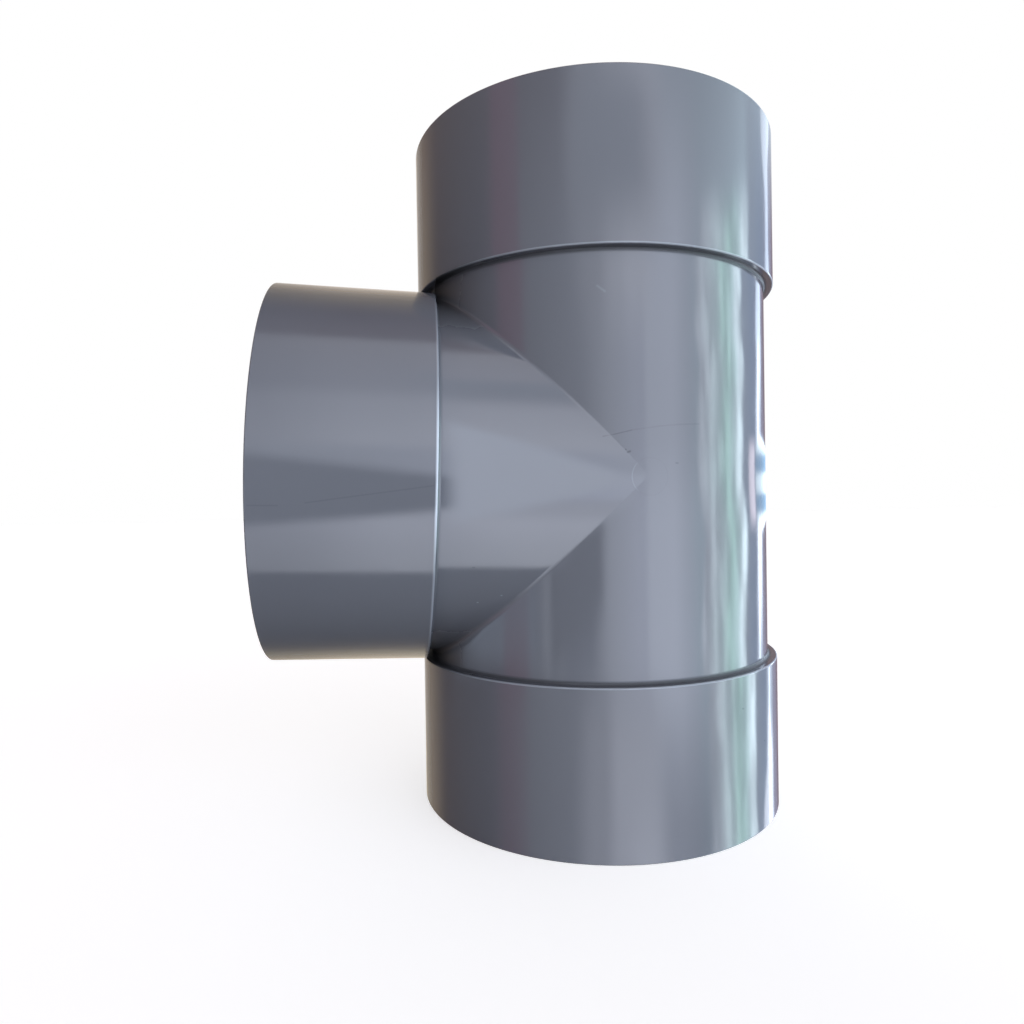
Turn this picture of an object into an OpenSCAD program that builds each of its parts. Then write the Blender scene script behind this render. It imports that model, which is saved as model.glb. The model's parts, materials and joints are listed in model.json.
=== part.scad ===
// Equal drain tee for solvent welding, moulded in one piece from grey PVC.
// Three plain sockets, and a branch that leans a little towards the upper socket.
// The run stands on +Z with the centre of its lower mouth at the origin, and the branch points to -X.
// All lengths are in millimetres and all angles in degrees.

/* [Pipe] */
// Outside diameter of the pipe that the sockets take
pipe_od = 125; // [75:1:160]
// Wall of that pipe, which the stop ledge covers so that the bores line up
pipe_wall = 3.3; // [2.5:0.1:5]

/* [Sockets] */
// Play between pipe and socket, on the diameter
socket_play = 0.4; // [0.2:0.1:1]
// Depth that the pipe goes in, from the mouth to the stop ledge
socket_depth = 51; // [30:1:70]
// Wall of the socket
socket_wall = 3.6; // [2.5:0.1:6]
// How far the outer shoulder lies behind the stop ledge
shoulder_setback = 2.1; // [1.5:0.1:5]
// Lead-in chamfer at the mouth
mouth_chamfer = 1; // [0.3:0.1:2]
// Rounding of the outer edge of the mouth
mouth_round = 0.4; // [0.2:0.1:1]
// Chamfer on both corners of the stop ledge
ledge_chamfer = 0.5; // [0.2:0.1:1]

/* [Body] */
// Wall of the body between the sockets
body_wall = 3.9; // [3:0.1:7]
// Rounding of the shoulder's outer edge
shoulder_round = 0.5; // [0.2:0.1:1]
// Fillet where the shoulder runs into the body
shoulder_fillet = 1; // [0.4:0.1:1.5]

/* [Branch] */
// Angle between the branch and the upper half of the run
branch_angle = 88; // [85:0.5:95]
// Body left clear between the branch and the lower shoulder, at the side of the run
lower_land = 2.6; // [2:0.1:30]
// Body left clear between the branch and the upper shoulder, at the side of the run
upper_land = 3.1; // [2:0.1:30]
// Distance from the side of the run to the branch's shoulder
branch_land = 0.4; // [0.2:0.1:40]
// Fillet radius in the crotch between run and branch
crotch_radius = 2.2; // [1:0.1:4]

/* [Hidden] */
$fn = 180;
plastic_colour = [0.50, 0.53, 0.57];

socket_bore_r = (pipe_od + socket_play) / 2;
socket_r = socket_bore_r + socket_wall;
socket_length = socket_depth + shoulder_setback;
body_bore_r = pipe_od / 2 - pipe_wall;
body_r = body_bore_r + body_wall;

// The lean lifts or drops the branch where it passes the side of the run.
lean = 90 - branch_angle;
branch_half_height = body_r / cos(lean);
branch_lift = body_r * tan(lean);
lower_reach = branch_half_height - branch_lift + lower_land + socket_length;
upper_reach = branch_half_height + branch_lift + upper_land + socket_length;
branch_reach = body_r + branch_land + socket_length;
run_length = lower_reach + upper_reach;

// Cutters run past the faces that they open.
overrun = 1;
corner_steps = 6;

// The crotch fillet is a ball rolled along the seam, cut off where it has faded out.
fillet_end = 72;
fillet_step = 4;
fillet_arc_steps = 5;
// It sinks a little into both bodies, so that the seam closes.
fillet_sink = 0.08;
fillet_root = 0.6;

function arc(centre, radius, from, to, steps) =
    [for (i = [0:steps])
        let (a = from + (to - from) * i / steps)
            centre + radius * [cos(a), sin(a)]];

function reversed(list) = [for (i = [len(list) - 1:-1:0]) list[i]];

// Outside of one socket as [radius, distance from the mouth], from the mouth to the body.
function socket_outline() = concat(
    arc([socket_r - mouth_round, mouth_round], mouth_round, -90, 0, corner_steps),
    arc([socket_r - shoulder_round, socket_length - shoulder_round], shoulder_round, 0, 90, corner_steps),
    arc([body_r + shoulder_fillet, socket_length + shoulder_fillet], shoulder_fillet, 270, 180, corner_steps));

// Inside of one socket in the same terms, from past the mouth to the body's bore.
function bore_outline() = [
    [socket_bore_r + mouth_chamfer + overrun, -overrun],
    [socket_bore_r, mouth_chamfer],
    [socket_bore_r, socket_depth - ledge_chamfer],
    [socket_bore_r - ledge_chamfer, socket_depth],
    [body_bore_r + ledge_chamfer, socket_depth],
    [body_bore_r, socket_depth + ledge_chamfer]];

// The same outline seen from the far end of a tube of this length.
function from_far_end(outline, length) = [for (p = reversed(outline)) [p[0], length - p[1]]];

function run_profile(outline, past) = concat(
    [[0, -past]],
    outline,
    from_far_end(outline, run_length),
    [[0, run_length + past]]);

function branch_profile(outline, radius, past) = concat(
    [[0, 0], [radius, 0]],
    from_far_end(outline, branch_reach),
    [[0, branch_reach + past]]);

// Puts a shape drawn along +Z on the branch's axis, with its foot where the axes cross.
module on_branch_axis() {
    translate([0, 0, lower_reach]) rotate([0, -branch_angle, 0]) children();
}

// Section of the crotch fillet where the side of the run faces this angle, 0 being straight at the branch.
// The half angle lies between the run's axis and the seam's plane, and side is 1 above and -1 below.
function crotch_section(angle, half_angle, side) =
    let (
        seam = [-cos(angle), sin(angle), side * cos(angle) / tan(half_angle)],
        ball_centre = (body_r + crotch_radius - fillet_sink) * seam,
        root = (body_r - fillet_root) * seam,
        run_normal = [-cos(angle), sin(angle), 0],
        seam_normal = [cos(half_angle), 0, side * sin(half_angle)],
        branch_normal = run_normal - 2 * (run_normal * seam_normal) * seam_normal,
        spread = acos(run_normal * branch_normal)
    )
    concat(
        [ball_centre - (crotch_radius + fillet_root / 2) * run_normal],
        [for (i = [0:fillet_arc_steps])
            let (
                part = i / fillet_arc_steps,
                across = sin((1 - part) * spread) * run_normal + sin(part * spread) * branch_normal
            )
            ball_centre - crotch_radius * across / sin(spread)],
        [ball_centre - (crotch_radius + fillet_root / 2) * branch_normal],
        [root]);

// Closed solid through a row of equal sections.
module lofted(sections) {
    rows = len(sections);
    width = len(sections[0]);
    points = [for (section = sections) each section];
    sides = [for (r = [0:rows - 2], c = [0:width - 1])
        let (
            a = r * width + c,
            b = r * width + (c + 1) % width
        )
        each [[a, b, b + width], [a, b + width, a + width]]];
    first_cap = [[for (c = [width - 1:-1:0]) c]];
    last_cap = [[for (c = [0:width - 1]) (rows - 1) * width + c]];
    polyhedron(points, concat(sides, first_cap, last_cap));
}

module crotch_fillet(half_angle, side) {
    sections = [for (angle = [-fillet_end:fillet_step:fillet_end]) crotch_section(angle, half_angle, side)];
    translate([0, 0, lower_reach]) lofted(side > 0 ? sections : reversed(sections));
}

module outside() {
    rotate_extrude() polygon(run_profile(socket_outline(), 0));
    on_branch_axis() rotate_extrude() polygon(branch_profile(socket_outline(), body_r, 0));
    crotch_fillet(branch_angle / 2, 1);
    crotch_fillet((180 - branch_angle) / 2, -1);
}

module bores() {
    rotate_extrude() polygon(run_profile(bore_outline(), overrun));
    on_branch_axis() rotate_extrude() polygon(branch_profile(bore_outline(), body_bore_r, overrun));
}

module tee() {
    color(plastic_colour)
        difference() {
            outside();
            bores();
        }
}

tee();
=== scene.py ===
"""Looks of an equal drain tee moulded in grey PVC: its surface, its plastic and a plain studio."""
import json
import math

import bmesh
import bpy
import numpy as np
from mathutils import Matrix, Vector


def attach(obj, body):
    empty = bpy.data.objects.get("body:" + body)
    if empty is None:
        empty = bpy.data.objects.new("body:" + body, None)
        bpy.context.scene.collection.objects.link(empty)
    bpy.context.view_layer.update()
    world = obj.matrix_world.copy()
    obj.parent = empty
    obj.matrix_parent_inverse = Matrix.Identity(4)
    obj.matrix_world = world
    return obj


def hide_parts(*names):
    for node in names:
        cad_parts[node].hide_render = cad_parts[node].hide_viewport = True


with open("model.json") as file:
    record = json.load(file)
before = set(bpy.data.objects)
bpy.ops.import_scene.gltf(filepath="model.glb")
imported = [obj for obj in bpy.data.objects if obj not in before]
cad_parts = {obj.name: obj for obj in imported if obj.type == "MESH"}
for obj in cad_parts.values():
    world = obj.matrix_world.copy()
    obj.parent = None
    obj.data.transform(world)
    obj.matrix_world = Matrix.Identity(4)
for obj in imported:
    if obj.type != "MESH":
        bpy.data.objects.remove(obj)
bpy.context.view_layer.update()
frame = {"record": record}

# Lengths are in millimetres until the mesh is made.
MM = 0.001

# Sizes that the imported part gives
mounts = {mount["name"]: mount for mount in frame["record"]["mounts"]}
branch_mouth = np.array(mounts["branch_socket"]["pos_m"]) / MM
BRANCH_AXIS = np.array(mounts["branch_socket"]["axis"])
BRANCH_AXIS = BRANCH_AXIS / np.linalg.norm(BRANCH_AXIS)
RUN_AXIS = np.array([0.0, 0.0, 1.0])
SIDEWAYS = np.array([0.0, 1.0, 0.0])
RUN_LENGTH = mounts["upper_socket"]["pos_m"][2] / MM
BRANCH_REACH = branch_mouth[0] / BRANCH_AXIS[0]
CROSSING = branch_mouth - BRANCH_REACH * BRANCH_AXIS
LEAN = math.asin(BRANCH_AXIS[2])
BRANCH_UP = np.array([math.sin(LEAN), 0.0, math.cos(LEAN)])
SOCKET_BORE_R = mounts["branch_socket"]["dims"]["r_mm"]

# Sizes of the section, as in the part
SOCKET_WALL = 3.6
SOCKET_R = SOCKET_BORE_R + SOCKET_WALL
SOCKET_DEPTH = 51.0
SHOULDER_SETBACK = 2.1
SOCKET_LENGTH = SOCKET_DEPTH + SHOULDER_SETBACK
BODY_BORE_R = 59.2
BODY_WALL = 3.9
BODY_R = BODY_BORE_R + BODY_WALL
MOUTH_CHAMFER = 1.0
MOUTH_ROUND = 0.4
LEDGE_CHAMFER = 0.5
SHOULDER_ROUND = 0.5
SHOULDER_FILLET = 1.0
CROTCH_RADIUS = 2.2
# The bores meet in an edge that the mould leaves a little round.
BORE_EDGE_RADIUS = 0.4

# How finely the mesh is cut
COLUMNS = 240
ROW_LENGTH = 5.0
ROUND_STEPS = 6
CROTCH_STEPS = 10
# Cutters run past the faces that they open, and pieces to be joined reach into each other.
OVERRUN = 1.0
EMBED = 16.0
# A fillet drawn on its own sinks this far into the body, so that the two cross cleanly.
SINK = 0.004
# The seams between run and branch stay at least this far from both ends of the run's body.
CLEAR = 0.02

turns = np.linspace(0, 2 * math.pi, COLUMNS, endpoint=False)


# Surfaces: each gives its outward normal at any of its points.
surfaces = []


def surface(normal_at):
    surfaces.append(normal_at)
    return len(surfaces) - 1


def off_axis(points, base, axis):
    """Distance along an axis, distance from it, and the direction away from it."""
    from_base = points - base
    along = from_base @ axis
    away = from_base - along[:, None] * axis
    radius = np.linalg.norm(away, axis=1)
    return along, radius, away / np.maximum(radius, 1e-9)[:, None]


def straight_normal(base, axis, slope, side):
    def normal_at(points):
        _, _, outward = off_axis(points, base, axis)
        return side * (slope[0] * outward + slope[1] * axis)
    return normal_at


def round_normal(base, axis, centre, side):
    def normal_at(points):
        along, radius, outward = off_axis(points, base, axis)
        normals = (radius - centre[0])[:, None] * outward + (along - centre[1])[:, None] * axis
        return side * normals / np.linalg.norm(normals, axis=1)[:, None]
    return normal_at


def rolled_normal(spine, side):
    """Normal of the surface that a ball leaves when its centre runs along these points."""
    def normal_at(points):
        normals = np.empty_like(points)
        starts = spine[:-1]
        steps = spine[1:] - starts
        lengths = (steps * steps).sum(1)
        for i, point in enumerate(points):
            share = np.clip(((point - starts) * steps).sum(1) / lengths, 0, 1)
            feet = starts + share[:, None] * steps
            gaps = ((feet - point) ** 2).sum(1)
            normals[i] = side * (feet[gaps.argmin()] - point)
        return normals / np.linalg.norm(normals, axis=1)[:, None]
    return normal_at


# Outlines of turned parts: stretches of (radius, distance along the axis) points.
def line(start, end):
    count = max(1, round(math.dist(start, end) / ROW_LENGTH))
    points = [np.array(start) + (np.array(end) - start) * i / count for i in range(count + 1)]
    return {"points": points, "centre": None}


def arc(centre, radius, from_angle, to_angle):
    angles = np.radians(np.linspace(from_angle, to_angle, ROUND_STEPS + 1))
    points = [np.array(centre) + radius * np.array([math.cos(a), math.sin(a)]) for a in angles]
    return {"points": points, "centre": centre}


def joined(*stretches):
    """Adds the straight stretches between arcs and single points."""
    out = []
    last = None
    for stretch in stretches:
        if isinstance(stretch, tuple):
            if last is not None:
                out.append(line(last, stretch))
            last = stretch
            continue
        if last is not None and math.dist(last, stretch["points"][0]) > 1e-6:
            out.append(line(last, stretch["points"][0]))
        out.append(stretch)
        last = stretch["points"][-1]
    return out


def mirrored(stretches, length):
    """The same outline seen from the other end of a tube of this length."""
    out = []
    for stretch in reversed(stretches):
        points = [np.array([p[0], length - p[1]]) for p in reversed(stretch["points"])]
        centre = stretch["centre"]
        out.append({"points": points, "centre": centre and (centre[0], length - centre[1])})
    return out


def socket_outside():
    """Outside of one socket, from the middle of its mouth to the body."""
    return joined(
        (0.0, 0.0),
        arc((SOCKET_R - MOUTH_ROUND, MOUTH_ROUND), MOUTH_ROUND, -90, 0),
        arc((SOCKET_R - SHOULDER_ROUND, SOCKET_LENGTH - SHOULDER_ROUND), SHOULDER_ROUND, 0, 90),
        arc((BODY_R + SHOULDER_FILLET, SOCKET_LENGTH + SHOULDER_FILLET), SHOULDER_FILLET, 270, 180))


def socket_inside():
    """Inside of one socket, from outside its mouth to the bore of the body."""
    return joined(
        (0.0, -OVERRUN),
        (SOCKET_BORE_R + MOUTH_CHAMFER + OVERRUN, -OVERRUN),
        (SOCKET_BORE_R, MOUTH_CHAMFER),
        (SOCKET_BORE_R, SOCKET_DEPTH - LEDGE_CHAMFER),
        (SOCKET_BORE_R - LEDGE_CHAMFER, SOCKET_DEPTH),
        (BODY_BORE_R + LEDGE_CHAMFER, SOCKET_DEPTH),
        (BODY_BORE_R, SOCKET_DEPTH + LEDGE_CHAMFER))


# Directions away from each axis, column by column, starting on the side of the crotches
RUN_RADIALS = np.stack([-np.cos(turns), np.sin(turns), 0 * turns], axis=1)
BRANCH_RADIALS = np.cos(turns)[:, None] * BRANCH_UP + np.sin(turns)[:, None] * SIDEWAYS


class Skin:
    """A closed mesh put together from patches, each on one surface."""

    def __init__(self, name, side=1):
        self.name = name
        self.side = side
        self.points = []
        self.faces = []
        self.kinds = []

    def patch(self, grid, kind, closed=True):
        """Faces between the rows of a grid of points."""
        rows, columns = grid.shape[:2]
        first = sum(len(block) for block in self.points)
        self.points.append(grid.reshape(-1, 3))
        last_column = columns if closed else columns - 1
        for row in range(rows - 1):
            for column in range(last_column):
                beside = (column + 1) % columns
                corners = [(row, column), (row, beside), (row + 1, beside), (row + 1, column)]
                self.faces.append([first + r * columns + c for r, c in corners])
                self.kinds.append(kind)

    def turned(self, stretches, base, axis, radials):
        """Turns an outline round an axis."""
        for stretch in stretches:
            points = np.array(stretch["points"])
            rise = points[-1] - points[0]
            slope = np.array([rise[1], -rise[0]]) / np.linalg.norm(rise)
            if stretch["centre"] is None:
                kind = surface(straight_normal(base, axis, slope, self.side))
            else:
                middle = points[len(points) // 2]
                bulge = math.copysign(1, (middle - np.array(stretch["centre"])) @ slope)
                kind = surface(round_normal(base, axis, stretch["centre"], self.side * bulge))
            grid = base + points[:, 0, None, None] * radials + points[:, 1, None, None] * axis
            self.patch(grid, kind)

    def junction(self, radius, rolling, run_from, run_to, branch_to):
        """Run and branch of one radius, with a ball rolled along the seams between them."""
        toward = np.maximum(np.cos(turns), 0)
        upper_half = (math.pi / 2 - LEAN) / 2
        lower_half = (math.pi / 2 + LEAN) / 2
        reach = radius + rolling
        above = CROSSING[2] + reach * toward / math.tan(upper_half)
        below = CROSSING[2] - reach * toward / math.tan(lower_half)
        above = np.minimum(above, run_to - CLEAR)
        below = np.maximum(below, run_from + CLEAR)
        wall = surface(straight_normal(np.zeros(3), RUN_AXIS, (1, 0), self.side))
        rows = np.linspace(0, 1, round((CROSSING[2] - run_from) / ROW_LENGTH) + 1)[:, None]
        for start, end in ((np.full(COLUMNS, run_from), below), (above, np.full(COLUMNS, run_to))):
            heights = start + (end - start) * rows
            self.patch(radius * RUN_RADIALS + heights[..., None] * RUN_AXIS, wall)
        # The branch's columns start on top, so its lower seam takes the run's columns backwards.
        seam = reach * np.where(
            np.cos(turns) >= 0,
            np.cos(turns) / math.tan(upper_half),
            -np.cos(turns) / math.tan(lower_half))
        rows = np.linspace(0, 1, round(branch_to / ROW_LENGTH) + 1)[:, None]
        distances = seam + (branch_to - seam) * rows
        wall = surface(straight_normal(CROSSING, BRANCH_AXIS, (1, 0), self.side))
        self.patch(CROSSING + radius * BRANCH_RADIALS + distances[..., None] * BRANCH_AXIS, wall)
        quarter = COLUMNS // 4
        facing = np.arange(-quarter, quarter + 1)
        for heights, half, sign in ((above, upper_half, 1), (below, lower_half, -1)):
            run_columns = facing % COLUMNS
            branch_columns = run_columns if sign > 0 else (COLUMNS // 2 - facing) % COLUMNS
            run_normals = RUN_RADIALS[run_columns]
            branch_normals = BRANCH_RADIALS[branch_columns]
            lift = sign * toward[run_columns] / math.tan(half)
            spine = CROSSING + reach * (run_normals + lift[:, None] * RUN_AXIS)
            spread = np.arccos(np.clip((run_normals * branch_normals).sum(1), -1, 1))
            grid = []
            for step in range(CROTCH_STEPS + 1):
                part = step / CROTCH_STEPS
                turned = np.sin((1 - part) * spread)[:, None] * run_normals
                turned = turned + np.sin(part * spread)[:, None] * branch_normals
                length = np.maximum(np.linalg.norm(turned, axis=1), 1e-9)
                turned = np.where(spread[:, None] > 1e-6, turned / length[:, None], run_normals)
                grid.append(spine - rolling * turned)
            grid[0] = radius * run_normals + heights[run_columns][:, None] * RUN_AXIS
            grid[-1] = CROSSING + radius * branch_normals + seam[branch_columns][:, None] * BRANCH_AXIS
            self.patch(np.array(grid), surface(rolled_normal(spine, self.side)), closed=False)

    def made(self):
        """The object, with points that coincide welded and every face turned outwards."""
        points = np.concatenate(self.points) * MM
        mesh = bpy.data.meshes.new(self.name)
        mesh.from_pydata(points.tolist(), [], self.faces)
        for _ in surfaces:
            mesh.materials.append(None)
        mesh.polygons.foreach_set("material_index", self.kinds)
        welder = bmesh.new()
        welder.from_mesh(mesh)
        bmesh.ops.remove_doubles(welder, verts=welder.verts, dist=1e-7)
        bmesh.ops.recalc_face_normals(welder, faces=welder.faces)
        welder.to_mesh(mesh)
        welder.free()
        thing = bpy.data.objects.new(self.name, mesh)
        bpy.context.scene.collection.objects.link(thing)
        return thing


def combined(thing, other, operation):
    """Joins or cuts two closed meshes, and removes the second."""
    modifier = thing.modifiers.new("combine", "BOOLEAN")
    modifier.object = other
    modifier.operation = operation
    modifier.solver = "MANIFOLD"
    modifier.material_mode = "INDEX"
    bpy.context.view_layer.update()
    graph = bpy.context.evaluated_depsgraph_get()
    mesh = bpy.data.meshes.new_from_object(thing.evaluated_get(graph))
    thing.modifiers.clear()
    thing.data = mesh
    bpy.data.objects.remove(other)
    return thing


def tee_mesh():
    """The whole tee: the run and branch, joined with the branch's socket, and the bores cut out."""
    body = Skin("tee_surface")
    socket = socket_outside()
    origin = np.zeros(3)
    body.turned(socket, origin, RUN_AXIS, RUN_RADIALS)
    body.turned(mirrored(socket, RUN_LENGTH), origin, RUN_AXIS, RUN_RADIALS)
    body_from = SOCKET_LENGTH + SHOULDER_FILLET
    shoulder = BRANCH_REACH - SOCKET_LENGTH
    body.junction(BODY_R, CROTCH_RADIUS, body_from, RUN_LENGTH - body_from, shoulder + EMBED)
    body.turned([line((BODY_R, shoulder + EMBED), (0.0, shoulder + EMBED))],
                CROSSING, BRANCH_AXIS, BRANCH_RADIALS)

    collar = Skin("branch_collar")
    outline = mirrored(socket, BRANCH_REACH)
    fillet = outline[0]
    fillet["points"] = [p - np.array([SINK, 0]) for p in fillet["points"]]
    fillet["centre"] = (fillet["centre"][0] - SINK, fillet["centre"][1])
    collar_foot = line((0.0, fillet["points"][0][1]), fillet["points"][0])
    outline[1] = line(fillet["points"][-1], outline[1]["points"][-1])
    collar.turned([collar_foot] + outline, CROSSING, BRANCH_AXIS, BRANCH_RADIALS)

    bores = Skin("bores", side=-1)
    socket = socket_inside()
    bores.turned(socket, origin, RUN_AXIS, RUN_RADIALS)
    bores.turned(mirrored(socket, RUN_LENGTH), origin, RUN_AXIS, RUN_RADIALS)
    bores.turned(mirrored(socket, BRANCH_REACH), CROSSING, BRANCH_AXIS, BRANCH_RADIALS)
    bore_from = SOCKET_DEPTH + LEDGE_CHAMFER
    bores.junction(BODY_BORE_R, BORE_EDGE_RADIUS, bore_from, RUN_LENGTH - bore_from,
                   BRANCH_REACH - bore_from)

    solids = [skin.made() for skin in (body, collar, bores)]
    tee = combined(solids[0], solids[1], "UNION")
    return combined(tee, solids[2], "DIFFERENCE")


def set_normals(thing):
    """Gives every corner the true normal of the surface that its face lies on."""
    mesh = thing.data
    points = np.zeros(len(mesh.vertices) * 3)
    mesh.vertices.foreach_get("co", points)
    points = points.reshape(-1, 3) / MM
    kinds = np.zeros(len(mesh.polygons), int)
    mesh.polygons.foreach_get("material_index", kinds)
    sizes = np.zeros(len(mesh.polygons), int)
    mesh.polygons.foreach_get("loop_total", sizes)
    corner_kinds = np.repeat(kinds, sizes)
    corner_points = np.zeros(len(mesh.loops), int)
    mesh.loops.foreach_get("vertex_index", corner_points)
    normals = np.zeros((len(corner_points), 3))
    for kind in np.unique(kinds):
        corners = np.nonzero(corner_kinds == kind)[0]
        used, place = np.unique(corner_points[corners], return_inverse=True)
        normals[corners] = surfaces[kind](points[used])[place]
    facing = np.zeros(len(mesh.polygons) * 3)
    mesh.polygons.foreach_get("normal", facing)
    facing = np.repeat(facing.reshape(-1, 3), sizes, axis=0)
    turned_away = (normals * facing).sum(1) < 0
    normals[turned_away] = facing[turned_away]
    mesh.polygons.foreach_set("use_smooth", np.ones(len(mesh.polygons), bool))
    mesh.polygons.foreach_set("material_index", np.zeros(len(mesh.polygons), int))
    mesh.materials.clear()
    mesh.normals_split_custom_set(normals.tolist())


def place_camera():
    """The photograph's camera: where it stands, what it looks at, how it tips and its lens."""
    eye = Vector((-74.71, -270.57, 108.37)) * MM
    aim = Vector((-32.18, 0.0, 105.38)) * MM
    tip = math.radians(-0.902)
    forward = (aim - eye).normalized()
    level = forward.cross(Vector((0, 0, 1))).normalized()
    right = math.cos(tip) * level + math.sin(tip) * level.cross(forward)
    up = right.cross(forward)
    data = bpy.data.cameras.new("photo_camera")
    data.sensor_width = 36.0
    data.lens = 25.222
    data.clip_start = 0.01
    camera = bpy.data.objects.new("photo_camera", data)
    camera.matrix_world = Matrix.Translation(eye) @ Matrix((right, up, -forward)).transposed().to_4x4()
    bpy.context.scene.collection.objects.link(camera)
    bpy.context.scene.camera = camera


class Nodes:
    """Short ways to add nodes to a material or world. Values are numbers, colours or outputs."""

    def __init__(self, tree):
        self.tree = tree
        tree.nodes.clear()

    def add(self, kind, inputs=None, **settings):
        node = self.tree.nodes.new(kind)
        for name, value in settings.items():
            setattr(node, name, value)
        for name, value in (inputs or {}).items():
            self.put(node.inputs[name], value)
        return node

    def put(self, socket, value):
        if isinstance(value, bpy.types.NodeSocket):
            self.tree.links.new(value, socket)
        elif isinstance(value, tuple) and len(value) == 3 and len(socket.default_value) == 4:
            socket.default_value = (*value, 1)
        else:
            socket.default_value = value

    def math(self, operation, *values):
        return self.add("ShaderNodeMath", dict(enumerate(values)), operation=operation).outputs[0]

    def chain(self, operation, first, *others):
        """One operation over any number of values, such as their sum, product or maximum."""
        for other in others:
            first = self.math(operation, first, other)
        return first

    def vector(self, operation, *values):
        node = self.add("ShaderNodeVectorMath", dict(enumerate(values)), operation=operation)
        return node.outputs["Value" if operation in ("LENGTH", "DOT_PRODUCT", "DISTANCE") else "Vector"]

    def scaled(self, vector, factor):
        node = self.add("ShaderNodeVectorMath", {0: vector, "Scale": factor}, operation="SCALE")
        return node.outputs["Vector"]

    def distance(self, first, second):
        """Length of the vector with these two parts."""
        both = self.add("ShaderNodeCombineXYZ", {"X": first, "Y": second}).outputs[0]
        return self.vector("LENGTH", both)

    def between(self, value, start, end, to_start=0.0, to_end=1.0):
        """Goes smoothly from one result to the other while the value goes from start to end."""
        inputs = {"Value": value, "From Min": start, "From Max": end,
                  "To Min": to_start, "To Max": to_end}
        return self.add("ShaderNodeMapRange", inputs, interpolation_type="SMOOTHSTEP").outputs["Result"]

    def band(self, value, start, full_from, full_to, end):
        """Goes smoothly from 0 to 1, stays there, and goes back to 0."""
        return self.math("MULTIPLY", self.between(value, start, full_from),
                         self.between(value, full_to, end, 1.0, 0.0))

    def mix(self, factor, first, second, blend="MIX"):
        node = self.add("ShaderNodeMix", data_type="RGBA", blend_type=blend)
        for place, value in ((0, factor), (6, first), (7, second)):
            self.put(node.inputs[place], value)
        return node.outputs[2]

    def ramp(self, degrees, stops):
        """Colours by angle, from -180 to 180 degrees and round again."""
        node = self.add("ShaderNodeValToRGB", {"Fac": self.math("MULTIPLY_ADD", degrees, 1 / 360, 0.5)})
        elements = node.color_ramp.elements
        elements[0].position = 0
        elements[1].position = 1
        for angle, _ in stops[1:]:
            elements.new(angle / 360 + 0.5)
        for element, (_, colour) in zip(elements, (*stops, (180, stops[0][1]))):
            element.color = (*colour, 1)
        return node.outputs["Color"]

    def noise(self, place, size, detail=2.0, roughness=0.5):
        """Noise from 0 to 1 whose lumps are about this long."""
        inputs = {"Vector": place, "Scale": 1 / size, "Detail": detail, "Roughness": roughness}
        return self.add("ShaderNodeTexNoise", inputs).outputs["Fac"]


# Light by angle round the tee, 0 being the camera's side and 90 the right: what lights the plastic
SOFT_LIGHT = (
    (-180, (3.40, 3.40, 3.50)),
    (-150, (2.50, 2.45, 2.45)),
    (-120, (0.30, 0.25, 0.25)),
    (-60, (0.20, 0.10, 0.05)),
    (-30, (1.50, 1.50, 1.60)),
    (0, (3.10, 3.35, 3.90)),
    (45, (3.50, 3.90, 4.60)),
    (90, (1.90, 2.15, 2.40)),
    (140, (2.60, 2.65, 2.80)),
)
SOFT_TOP = (0.18, 0.13, 0.11)

# What the plastic mirrors at eye level, by the same angle
ROOM_ROUND = (
    (-180, (1.00, 1.00, 1.00)),
    (-166, (0.60, 0.50, 0.40)),
    (-142, (0.50, 0.38, 0.25)),
    (-126, (0.15, 0.08, 0.04)),
    (-85, (0.05, 0.02, 0.02)),
    (-70, (0.35, 0.18, 0.25)),
    (-56, (0.70, 0.75, 0.85)),
    (-22, (1.10, 1.20, 1.40)),
    (-5, (2.30, 2.50, 2.90)),
    (12, (3.00, 3.25, 3.95)),
    (16, (2.90, 3.15, 3.85)),
    (20, (3.80, 4.15, 4.90)),
    (36, (3.80, 4.15, 4.90)),
    (46, (2.80, 3.15, 3.70)),
    (54, (2.20, 2.80, 3.20)),
    (90, (2.20, 2.90, 3.40)),
    (98, (1.00, 1.25, 1.60)),
    (110, (0.55, 0.75, 1.10)),
    (130, (0.55, 0.50, 0.70)),
    (140, (0.28, 0.20, 0.24)),
    (155, (0.40, 0.30, 0.30)),
)

# The window at the right, which takes the wall's place at middle heights
WINDOW = (
    (-180, (0.80, 1.05, 1.40)),
    (57, (3.40, 3.80, 4.30)),
    (63, (4.40, 5.20, 5.70)),
    (72, (4.20, 5.60, 5.80)),
    (80, (3.20, 5.40, 4.90)),
    (88, (3.30, 4.80, 4.90)),
    (92, (5.60, 6.90, 7.60)),
    (96, (5.60, 6.90, 7.60)),
    (99, (0.80, 1.05, 1.40)),
)

# The gap between the curtains beside the window, which is brightest in a thin core
GAP = (2.90, 3.20, 3.80)
GAP_CORE = (9.00, 10.00, 11.00)
# How bright it is, by this many times the height in degrees
GAP_STRETCH = 6.0
GAP_BRIGHTNESS = (
    (-180, (1.00, 1.00, 1.00)),
    (-110, (1.00, 1.00, 1.00)),
    (-90, (0.45, 0.48, 0.50)),
    (-66, (0.50, 0.52, 0.55)),
    (-40, (0.90, 0.92, 0.95)),
    (0, (1.00, 1.00, 1.00)),
    (25, (0.65, 0.68, 0.72)),
    (78, (0.85, 0.92, 0.95)),
    (110, (0.66, 0.71, 0.76)),
)
# Something is tied round the curtain at this height in degrees, and pulls it over the gap's right edge.
KNOT_HEIGHT = 1.3
KNOT = (2.30, 2.80, 3.20)
KNOT_TIES = (0.55, 0.95, 1.45)
PALE_FOLD = (3.60, 3.40, 4.00)

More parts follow.
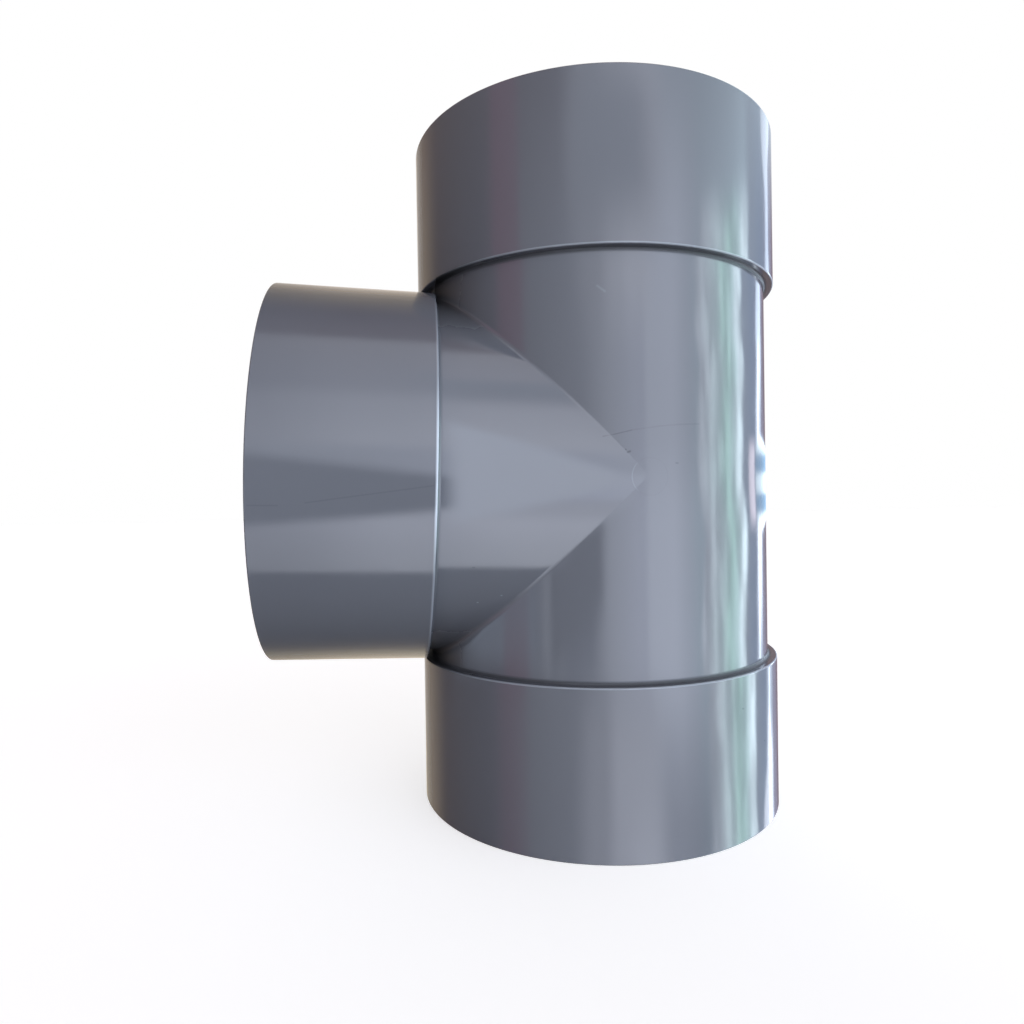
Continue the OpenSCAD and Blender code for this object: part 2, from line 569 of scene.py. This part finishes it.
# Panels on the walls: where each fades in and out across and in height, in degrees, and its colour
PANELS = (
    ((-117, -113, -58, -44), (-14, -11, -7, -3), (0.90, 1.10, 1.40)),
    ((-36, -32, -19, -12), (-15, -12, -3, 0), (0.75, 0.85, 1.05)),
    ((-52, -47, -36, -32), (-15, -12, -3, 0), (1.45, 1.60, 1.85)),
)
RED_CURTAIN = (0.70, 0.12, 0.25)

# What it mirrors over and under the tee, 0 being the camera's side and 90 straight up
ROOM_OVER = (
    (-180, (1.00, 1.00, 1.00)),
    (-160, (0.90, 0.78, 0.62)),
    (-140, (0.90, 0.78, 0.58)),
    (-124, (0.30, 0.25, 0.20)),
    (-112, (0.10, 0.10, 0.10)),
    (-61, (0.30, 0.35, 0.40)),
    (-58, (3.10, 3.30, 3.70)),
    (-30, (3.80, 4.00, 4.60)),
    (10, (3.50, 3.70, 4.20)),
    (42, (2.60, 2.70, 3.05)),
    (50, (1.80, 1.85, 2.10)),
    (80, (1.45, 1.40, 1.50)),
    (86, (0.25, 0.08, 0.02)),
    (105, (0.10, 0.02, 0.00)),
    (122, (0.45, 0.35, 0.20)),
    (140, (0.80, 0.66, 0.50)),
    (158, (0.95, 0.85, 0.75)),
)
# What it mirrors high up and low down at the sides
ROOM_LEFT = (0.25, 0.14, 0.10)
ROOM_RIGHT = (1.40, 1.70, 1.90)


def wall_with_window(nodes, direction, degrees_round, height, sway):
    """The walls round the tee, with the window, which bends a little towards the camera near its top."""
    across = nodes.chain("ADD", degrees_round, sway, nodes.between(height, 15, 19, 0.0, 4.0))
    at_window = nodes.math("MULTIPLY", nodes.band(across, 54, 58, 98, 102),
                           nodes.between(height, 19, 24, 1.0, 0.0))
    blotches = nodes.between(nodes.noise(direction, 0.11, 1.0), 0.35, 0.65, 0.70, 1.25)
    window = nodes.mix(1.0, nodes.ramp(across, WINDOW), blotches, "MULTIPLY")
    return nodes.mix(at_window, nodes.ramp(degrees_round, ROOM_ROUND), window)


def with_gap(nodes, wall, degrees_round, height, sway):
    """Adds the bright gap beside the window, the knot in it and the pale fold between the two."""
    from_knot = nodes.math("ABSOLUTE", nodes.math("SUBTRACT", height, KNOT_HEIGHT))
    at_knot = nodes.between(from_knot, 2.3, 3.8, 1.0, 0.0)
    # The gap bends with the height, and each of its edges bends in its own way.
    across = nodes.chain(
        "ADD", degrees_round,
        nodes.math("MULTIPLY", sway, 0.4),
        nodes.between(height, 0, 20, 0.0, -5.0),
        nodes.between(height, -13, -10, 2.0, 0.0))
    across_left = nodes.chain(
        "ADD", across,
        nodes.between(height, 21, 26, 0.0, 6.0),
        nodes.between(height, -24, -18, 7.0, 0.0))
    across_right = nodes.chain(
        "ADD", across,
        nodes.math("MULTIPLY", at_knot, -22.0),
        nodes.between(height, 14, 19, 0.0, 4.5),
        nodes.between(height, 23, 26, 0.0, -5.0))
    at_gap = nodes.math("MULTIPLY", nodes.between(across_left, 114, 116.5),
                        nodes.between(across_right, 125, 128, 1.0, 0.0))
    at_core = nodes.chain(
        "MULTIPLY",
        nodes.between(across, 118, 119.5),
        nodes.between(across_right, 121, 122.5, 1.0, 0.0),
        nodes.between(height, 9, 13, 1.0, 0.0))
    brightness = nodes.ramp(nodes.math("MULTIPLY", height, GAP_STRETCH), GAP_BRIGHTNESS)
    colour = nodes.mix(1.0, nodes.mix(at_core, GAP, GAP_CORE), brightness, "MULTIPLY")
    colour = nodes.mix(at_knot, colour, KNOT)
    colour = nodes.mix(nodes.band(from_knot, 0.5, 1.0, 1.9, 2.5), colour, KNOT_TIES)
    wall = nodes.mix(at_gap, wall, colour)
    at_fold = nodes.math("MULTIPLY", nodes.band(across, 103, 106, 112, 115),
                         nodes.between(from_knot, 2.4, 3.6, 1.0, 0.0))
    return nodes.mix(at_fold, wall, PALE_FOLD)


def with_panels(nodes, wall, degrees_round, height):
    """Brightens the wall by the camera just below eye level, darkens it low down and adds panels."""
    change = nodes.chain(
        "MULTIPLY",
        nodes.between(height, -25, -11, -0.5, 0.3),
        nodes.between(height, -2, 6, 1.0, 0.0),
        nodes.band(degrees_round, -14, -6, 50, 70))
    wall = nodes.mix(1.0, wall, nodes.math("ADD", change, 1.0), "MULTIPLY")
    for across, up, colour in PANELS:
        cover = nodes.math("MULTIPLY", nodes.band(degrees_round, *across), nodes.band(height, *up))
        wall = nodes.mix(cover, wall, colour)
    return wall


def room_over(nodes, x, z, degrees_over):
    """The strip of the room over and under the tee, from front to back, which is darker at the left."""
    off_middle = nodes.math("ADD", nodes.between(z, 0.0, 0.1, 0.0, 0.2),
                            nodes.between(z, -0.50, -0.36, 0.2, 0.0))
    off_middle = nodes.math("MULTIPLY", off_middle, nodes.between(x, 0.02, 0.14))
    brightness = nodes.math("ADD", nodes.between(x, -0.20, -0.02, 0.60, 1.0), off_middle)
    return nodes.mix(1.0, nodes.ramp(degrees_over, ROOM_OVER), brightness, "MULTIPLY")


def light_the_room():
    """White for the camera, a soft light by angle for the plastic, and a room that it mirrors."""
    world = bpy.data.worlds.new("studio")
    bpy.context.scene.world = world
    world.use_nodes = True
    nodes = Nodes(world.node_tree)
    direction = nodes.add("ShaderNodeTexCoord").outputs["Generated"]
    x, y, z = nodes.add("ShaderNodeSeparateXYZ", {0: direction}).outputs
    toward_camera = nodes.math("MULTIPLY", y, -1.0)
    degrees_round = nodes.math("DEGREES", nodes.math("ARCTAN2", x, toward_camera))
    degrees_over = nodes.math("DEGREES", nodes.math("ARCTAN2", z, toward_camera))
    height = nodes.math("DEGREES", nodes.math("ARCSINE", z))

    soft = nodes.mix(nodes.between(z, 0.15, 0.75), nodes.ramp(degrees_round, SOFT_LIGHT), SOFT_TOP)

    # The window and the gap beside it waver with the height.
    waver = nodes.add("ShaderNodeTexNoise", {"W": height, "Scale": 0.11, "Detail": 1.0},
                      noise_dimensions="1D")
    sway = nodes.math("MULTIPLY_ADD", waver.outputs["Fac"], 16.0, -8.0)
    room = wall_with_window(nodes, direction, degrees_round, height, sway)
    room = with_gap(nodes, room, degrees_round, height, sway)
    room = with_panels(nodes, room, degrees_round, height)
    # Steeply up and down it is plain.
    steep = nodes.math("MAXIMUM", nodes.between(z, 0.28, 0.62), nodes.between(z, -0.82, -0.50, 1.0, 0.0))
    room = nodes.mix(steep, room, nodes.mix(nodes.between(x, -0.40, 0.40), ROOM_LEFT, ROOM_RIGHT))
    at_curtain = nodes.chain(
        "MULTIPLY",
        nodes.band(degrees_round, -80, -74, -62, -56),
        nodes.between(nodes.math("ABSOLUTE", height), 5, 18, 0.2, 0.8),
        nodes.between(height, -17, -13, 0.4, 1.0))
    room = nodes.mix(at_curtain, room, RED_CURTAIN)
    at_strip = nodes.math("MULTIPLY", nodes.between(nodes.math("ABSOLUTE", x), 0.25, 0.50, 1.0, 0.0),
                          nodes.between(nodes.math("ABSOLUTE", z), 0.18, 0.34))
    room = nodes.mix(at_strip, room, room_over(nodes, x, z, degrees_over))

    path = nodes.add("ShaderNodeLightPath").outputs
    mirrored_ray = nodes.math("MAXIMUM", path["Is Glossy Ray"], path["Is Transmission Ray"])
    seen = nodes.mix(mirrored_ray, soft, room)
    seen = nodes.mix(path["Is Camera Ray"], seen, (1.0, 1.0, 1.0))
    background = nodes.add("ShaderNodeBackground", {"Color": seen, "Strength": 1.0})
    output = nodes.add("ShaderNodeOutputWorld", {"Surface": background.outputs[0]})
    output.is_active_output = True


def flat_sheet(name, corners):
    """An object with one four-sided face."""
    mesh = bpy.data.meshes.new(name)
    mesh.from_pydata(corners, [], [(0, 1, 2, 3)])
    sheet = bpy.data.objects.new(name, mesh)
    bpy.context.scene.collection.objects.link(sheet)
    return sheet


# Half the floor's width in metres, its colour, and the glow that brings it up to white
FLOOR_HALF = 6.0
FLOOR_COLOUR = (0.75, 0.75, 0.75)
FLOOR_GLOW = 0.61


def lay_floor():
    """A plain pale floor that fades into the white and keeps the tee's soft shadow."""
    half = FLOOR_HALF
    floor = flat_sheet("floor", [(-half, -half, 0), (half, -half, 0), (half, half, 0), (-half, half, 0)])
    material = bpy.data.materials.new("pale_floor")
    material.use_nodes = True
    nodes = Nodes(material.node_tree)
    path = nodes.add("ShaderNodeLightPath").outputs
    shown = nodes.chain(
        "MAXIMUM", path["Is Camera Ray"], path["Is Glossy Ray"], path["Is Transmission Ray"])
    lit = nodes.add("ShaderNodeBsdfDiffuse", {"Color": FLOOR_COLOUR})
    white = nodes.add("ShaderNodeEmission", {"Strength": nodes.math("MULTIPLY", shown, FLOOR_GLOW)})
    both = nodes.add("ShaderNodeAddShader", {0: lit.outputs[0], 1: white.outputs[0]})
    nodes.add("ShaderNodeOutputMaterial", {"Surface": both.outputs[0]})
    floor.data.materials.append(material)
    floor.visible_glossy = False


def stand_card(name, left, right, plane, low, high, fade, colour):
    """A card with soft edges in the room, which only shows where the plastic mirrors it.

    Its low and high edges are given at its left and at its right end, and all edges fade out.
    """
    left, right, plane, fade = left * MM, right * MM, plane * MM, fade * MM
    low, high = np.array(low) * MM, np.array(high) * MM
    card = flat_sheet(name, [
        (left, plane, low[0]), (right, plane, low[1]), (right, plane, high[1]), (left, plane, high[0])])
    material = bpy.data.materials.new(name)
    material.use_nodes = True
    nodes = Nodes(material.node_tree)
    place = nodes.add("ShaderNodeTexCoord").outputs["Object"]
    x, _, z = nodes.add("ShaderNodeSeparateXYZ", {0: place}).outputs
    cover = nodes.band(x, left, left + fade, right - fade, right)
    for edge, side in ((low, 1.0), (high, -1.0)):
        slope = (edge[1] - edge[0]) / (right - left)
        edge_here = nodes.math("MULTIPLY_ADD", x, slope, edge[0] - slope * left)
        inside = nodes.math("MULTIPLY", nodes.math("SUBTRACT", z, edge_here), side)
        cover = nodes.math("MULTIPLY", cover, nodes.between(inside, 0.0, fade))
    clear = nodes.add("ShaderNodeBsdfTransparent")
    glow = nodes.add("ShaderNodeEmission", {"Color": colour, "Strength": 1.0})
    mixed = nodes.add("ShaderNodeMixShader", {0: cover, 1: clear.outputs[0], 2: glow.outputs[0]})
    nodes.add("ShaderNodeOutputMaterial", {"Surface": mixed.outputs[0]})
    card.data.materials.append(material)
    card.visible_camera = False
    card.visible_diffuse = False
    card.visible_shadow = False


def on_run(degrees, height, radius=BODY_R):
    """Point on the outside of the run, 0 degrees facing the camera and 90 the right."""
    angle = math.radians(degrees)
    return (radius * math.sin(angle), -radius * math.cos(angle), height)


def on_branch(degrees, distance, radius=BODY_R):
    """Point on the outside of the branch, 0 degrees facing the camera and 90 up."""
    angle = math.radians(degrees)
    away = math.cos(angle) * -SIDEWAYS + math.sin(angle) * BRANCH_UP
    return tuple(CROSSING + distance * BRANCH_AXIS + radius * away)


# Small marks as straight strokes: both ends, and the distance at which the stroke has faded out
HAIRLINE = (
    (on_branch(10.2, 14.4), on_run(-9.1, 129.0), 0.3),
    (on_run(-9.1, 129.0), on_run(-4.7, 130.1), 0.3),
)
FAINT_LINE = (
    (on_run(-4.7, 130.1), on_run(3.3, 131.3), 0.4),
    (on_run(3.3, 131.3), on_run(9.5, 131.9), 0.4),
    (on_run(9.5, 131.9), on_run(15.7, 132.2), 0.4),
    (on_branch(-10.0, 115.6, SOCKET_R), on_branch(-9.9, 107.6, SOCKET_R), 0.35),
    (on_branch(-9.1, 100.1, SOCKET_R), on_branch(-7.0, 84.8, SOCKET_R), 0.35),
    (on_branch(-7.0, 84.8, SOCKET_R), on_branch(-4.3, 64.9, SOCKET_R), 0.35),
)
NICK = (
    (on_run(-5.9, 123.5), on_run(-5.3, 123.7), 0.55),
    (on_run(-6.5, 124.3), on_run(-6.4, 124.2), 0.35),
)
SPECKS = (
    (on_run(8.0, 120.1), on_run(8.6, 120.1), 0.4),
    (on_run(28.3, 42.6, SOCKET_R), on_run(28.9, 42.4, SOCKET_R), 0.4),
    (on_run(33.3, 0.4, SOCKET_R), on_run(34.4, 0.4, SOCKET_R), 0.8),
    (on_run(40.3, 29.2, SOCKET_R), on_run(40.6, 29.0, SOCKET_R), 0.4),
    (on_branch(-27.3, 51.7), on_branch(-27.3, 52.2), 0.4),
)
SCRATCH = (
    (on_run(-13.6, 173.5), on_run(-11.6, 171.8), 0.6),
)
PALE_SPECKS = (
    (on_branch(-39.9, 49.6), on_branch(-39.9, 49.8), 0.4),
    (on_branch(-37.1, 42.4), on_branch(-37.1, 42.6), 0.4),
)
# How strongly each kind shows
DARK_MARKS = ((0.45, HAIRLINE), (0.16, FAINT_LINE), (0.70, NICK), (0.40, SPECKS))
PALE_MARKS = ((0.08, SCRATCH), (0.25, PALE_SPECKS))

# The round mark that the mould's gate left on the run
GATE = on_run(0.3, 116.1)
GATE_RADIUS = 5.7
GATE_FADE = 0.35
GATE_HEIGHT = 0.004

# Where the upper socket's shoulder and the branch's lie along their axes
UPPER_SHOULDER = RUN_LENGTH - SOCKET_LENGTH
BRANCH_SHOULDER = BRANCH_REACH - SOCKET_LENGTH
# Painted shade in each crotch, which also dulls the plastic there: the level of its corner, and the
# distances from the corner at which it begins to fade and has faded out on the run, and on the branch
CROTCHES = (
    (SOCKET_LENGTH + 1.0, (13.0, 45.0), (12.0, 60.0)),
    (UPPER_SHOULDER - 1.0, (15.0, 50.0), (22.0, 66.0)),
)
# Strength of the painted shade in the crotches
CROTCH_SHADE = 0.93
# Painted shade at the foot of a shoulder and a painted highlight on its edge: how far inside the corner
# they are centred, and the distances at which the shade starts to fade and is gone, and at which the
# highlight starts to fade
FOOT_INSET = 0.3
FOOT_REACH = (0.4, 1.3)
EDGE_INSET = 0.15
EDGE_REACH = 0.25
# How far a fully pale painted highlight on an edge takes to fade
EDGE_FADE = 0.6

PLASTIC = ((0.134, 0.142, 0.162), (0.144, 0.153, 0.174))
# Colour of the painted shade in the crotches and at the shoulders' feet
SHADE_COLOUR = (0.020, 0.020, 0.020)
DARK_COLOUR = (0.030, 0.030, 0.035)
PALE_COLOUR = (0.58, 0.64, 0.71)

# The mould's fine skin and slow waves: how long their lumps are and how deep
SKIN_LENGTH = 1.6
SKIN_DEPTH = 0.0006
WAVE_LENGTH = 30.0
WAVE_DEPTH = 0.03
# Roughness of the smoothest and the roughest plastic, and what the painted shade adds to it
ROUGHNESS = (0.07, 0.14)
SHADE_ROUGHNESS = 0.5


def stroke(nodes, place, start, end, width):
    """1 along a straight line between two points, fading to 0 at this distance from it."""
    start, end = Vector(start), Vector(end)
    span = end - start
    from_start = nodes.vector("SUBTRACT", place, tuple(start))
    share = nodes.math("MULTIPLY", nodes.vector("DOT_PRODUCT", from_start, tuple(span)),
                       1 / span.length_squared)
    share = nodes.math("MINIMUM", nodes.math("MAXIMUM", share, 0.0), 1.0)
    off_line = nodes.vector("SUBTRACT", from_start, nodes.scaled(tuple(span), share))
    return nodes.between(nodes.vector("LENGTH", off_line), 0.0, width, 1.0, 0.0)


def marked(nodes, place, kinds):
    """How strongly marks of these kinds show at a place."""
    shown = []
    for strength, strokes in kinds:
        shapes = [stroke(nodes, place, *ends_and_width) for ends_and_width in strokes]
        shown.append(nodes.math("MULTIPLY", nodes.chain("MAXIMUM", *shapes), strength))
    return nodes.chain("MAXIMUM", *shown)


def painted_crotch_shade(nodes, place, z, run_radius, branch_along):
    """How far a place lies in the crotches, and how strongly shade is painted on the body there."""
    off_run = nodes.between(run_radius, BODY_R + 0.05, BODY_R + 0.4)
    in_crotch = 0.0
    for level, run_fade, branch_fade in CROTCHES:
        corner_gap = nodes.vector("DISTANCE", place, (-BODY_R, 0.0, level))
        shaded_run = nodes.between(corner_gap, *run_fade, 1.0, 0.0)
        shaded_branch = nodes.between(corner_gap, *branch_fade, 1.0, 0.0)
        change = nodes.math("SUBTRACT", shaded_branch, shaded_run)
        shaded = nodes.math("MULTIPLY_ADD", off_run, change, shaded_run)
        in_crotch = nodes.math("MAXIMUM", in_crotch, shaded)
    # On the body and the flat faces of the run's shoulders, and not on the sockets
    on_body = nodes.band(z, SOCKET_LENGTH - 0.8, SOCKET_LENGTH - 0.2,
                         UPPER_SHOULDER + 0.2, UPPER_SHOULDER + 0.8)
    beside_socket = nodes.between(branch_along, BRANCH_SHOULDER - 0.2, BRANCH_SHOULDER + 0.2, 1.0, 0.0)
    return in_crotch, nodes.chain("MULTIPLY", in_crotch, on_body, beside_socket, CROTCH_SHADE)


def grey_pvc():
    """Grey PVC as it comes out of the mould: glossy, a little wavy, with a few small marks, painted
    shade in the corners and painted highlights on the shoulders' edges.
    """
    material = bpy.data.materials.new("grey_pvc")
    material.use_nodes = True
    nodes = Nodes(material.node_tree)
    place = nodes.scaled(nodes.add("ShaderNodeTexCoord").outputs["Object"], 1 / MM)
    x, y, z = nodes.add("ShaderNodeSeparateXYZ", {0: place}).outputs
    run_radius = nodes.distance(x, y)
    from_crossing = nodes.vector("SUBTRACT", place, tuple(CROSSING))
    branch_along = nodes.vector("DOT_PRODUCT", from_crossing, tuple(BRANCH_AXIS))
    branch_up = nodes.vector("DOT_PRODUCT", from_crossing, tuple(BRANCH_UP))
    branch_radius = nodes.distance(branch_up, y)

    # Painted highlight: the gate's ring is pale on its left side.
    off_ring = nodes.math("SUBTRACT", nodes.vector("DISTANCE", place, GATE), GATE_RADIUS)
    gate_ring = nodes.between(nodes.math("ABSOLUTE", off_ring), 0.0, GATE_FADE, 1.0, 0.0)
    gate_highlight = nodes.math("MULTIPLY", gate_ring, nodes.between(x, -5.2, -2.5, 1.0, 0.0))
    dark = nodes.math("MAXIMUM", marked(nodes, place, DARK_MARKS),
                      nodes.math("MULTIPLY", gate_ring, 0.05))
    pale_marks_and_highlights = nodes.math("MAXIMUM", marked(nodes, place, PALE_MARKS),
                      nodes.math("MULTIPLY", gate_highlight, 0.10))

    # Shoulders: a painted highlight along the edge, and painted shade, rougher and less glossy, in the
    # corner at its foot.
    in_crotch, painted_shade = painted_crotch_shade(nodes, place, z, run_radius, branch_along)
    # The painted highlight on the edges is kept out of the crotches, and on the branch it is strongest
    # near middle height.
    out_of_crotch = nodes.math("SUBTRACT", 1.0, in_crotch)
    branch_highlight = nodes.chain(
        "MULTIPLY", out_of_crotch,
        nodes.between(branch_up, -30.0, -12.0, 0.3, 1.0),
        nodes.between(branch_up, 8.0, 32.0, 1.0, 0.3))
    # Distances from the axis and along it, the shoulder's place and side, its painted shade, and its
    # painted highlight's paleness and share
    shoulders = (
        (run_radius, z, SOCKET_LENGTH, -1, 0.6, 0.35, out_of_crotch),
        (run_radius, z, UPPER_SHOULDER, 1, 0.6, 0.35, out_of_crotch),
        (branch_radius, branch_along, BRANCH_SHOULDER, 1, 0.2, 1.0, branch_highlight),
    )
    for radius, along, shoulder, side, shade, paleness, highlit in shoulders:
        # Painted shade in the corner at the shoulder's foot
        from_foot = nodes.distance(nodes.math("SUBTRACT", radius, BODY_R + FOOT_INSET),
                                   nodes.math("SUBTRACT", along, shoulder - side * FOOT_INSET))
        painted_shade = nodes.math("MAXIMUM", painted_shade, nodes.between(from_foot, *FOOT_REACH, shade, 0.0))
        # Painted highlight along the shoulder's edge
        from_edge = nodes.distance(nodes.math("SUBTRACT", radius, SOCKET_R - EDGE_INSET),
                                   nodes.math("SUBTRACT", along, shoulder + side * EDGE_INSET))
        edge_end = EDGE_REACH + EDGE_FADE * paleness
        edge_highlight = nodes.between(from_edge, EDGE_REACH, edge_end, paleness, 0.0)
        pale_marks_and_highlights = nodes.math("MAXIMUM", pale_marks_and_highlights, nodes.math("MULTIPLY", edge_highlight, highlit))

    # Colour: one grey all through, a little uneven where the melt flowed
    colour = nodes.mix(nodes.noise(place, 38.0, 3.0), *PLASTIC)
    # Painted shade darkens the crotches and the shoulders' feet.
    colour = nodes.mix(painted_shade, colour, SHADE_COLOUR)
    colour = nodes.mix(dark, colour, DARK_COLOUR)
    # Pale marks, with the painted highlights on the gate's ring and the shoulders' edges
    colour = nodes.mix(pale_marks_and_highlights, colour, PALE_COLOUR)

    # Surface: the mould's fine skin and slow waves, and the gate's raised ring
    relief = nodes.math("MULTIPLY", nodes.noise(place, SKIN_LENGTH, 2.0), SKIN_DEPTH)
    relief = nodes.math("MULTIPLY_ADD", nodes.noise(place, WAVE_LENGTH, 1.0), WAVE_DEPTH, relief)
    relief = nodes.math("MULTIPLY_ADD", gate_ring, GATE_HEIGHT, relief)
    bump = nodes.add("ShaderNodeBump", {"Height": relief, "Strength": 1.0, "Distance": MM})
    roughness = nodes.between(nodes.noise(place, 9.0, 4.0, 0.6), 0.3, 0.8, *ROUGHNESS)
    shader = nodes.add("ShaderNodeBsdfPrincipled", {
        "Base Color": colour,
        # The painted shade is also rougher and reflects less.
        "Roughness": nodes.math("MULTIPLY_ADD", painted_shade, SHADE_ROUGHNESS, roughness),
        "IOR": 1.5,
        "Specular IOR Level": nodes.math("MULTIPLY_ADD", painted_shade, -0.5, 0.5),
        "Normal": bump.outputs[0],
    })
    nodes.add("ShaderNodeOutputMaterial", {"Surface": shader.outputs[0]})
    return material


place_camera()
light_the_room()
lay_floor()
stand_card("card_by_camera", left=-195.0, right=-28.0, plane=-215.0, low=(-16.0, 44.0),
           high=(176.0, 122.0), fade=28.0, colour=(0.55, 0.62, 0.72))
stand_card("card_above", left=-80.0, right=50.0, plane=-131.0, low=(196.0, 196.0),
           high=(300.0, 300.0), fade=45.0, colour=(1.40, 1.55, 1.80))
stand_card("card_before_branch", left=-62.0, right=4.0, plane=-90.0, low=(80.0, 109.0),
           high=(157.0, 121.0), fade=9.0, colour=(4.35, 4.75, 5.55))

tee = tee_mesh()
set_normals(tee)
tee.data.materials.append(grey_pvc())
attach(tee, "root")
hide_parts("tee")

bpy.context.scene.view_settings.view_transform = "Standard"
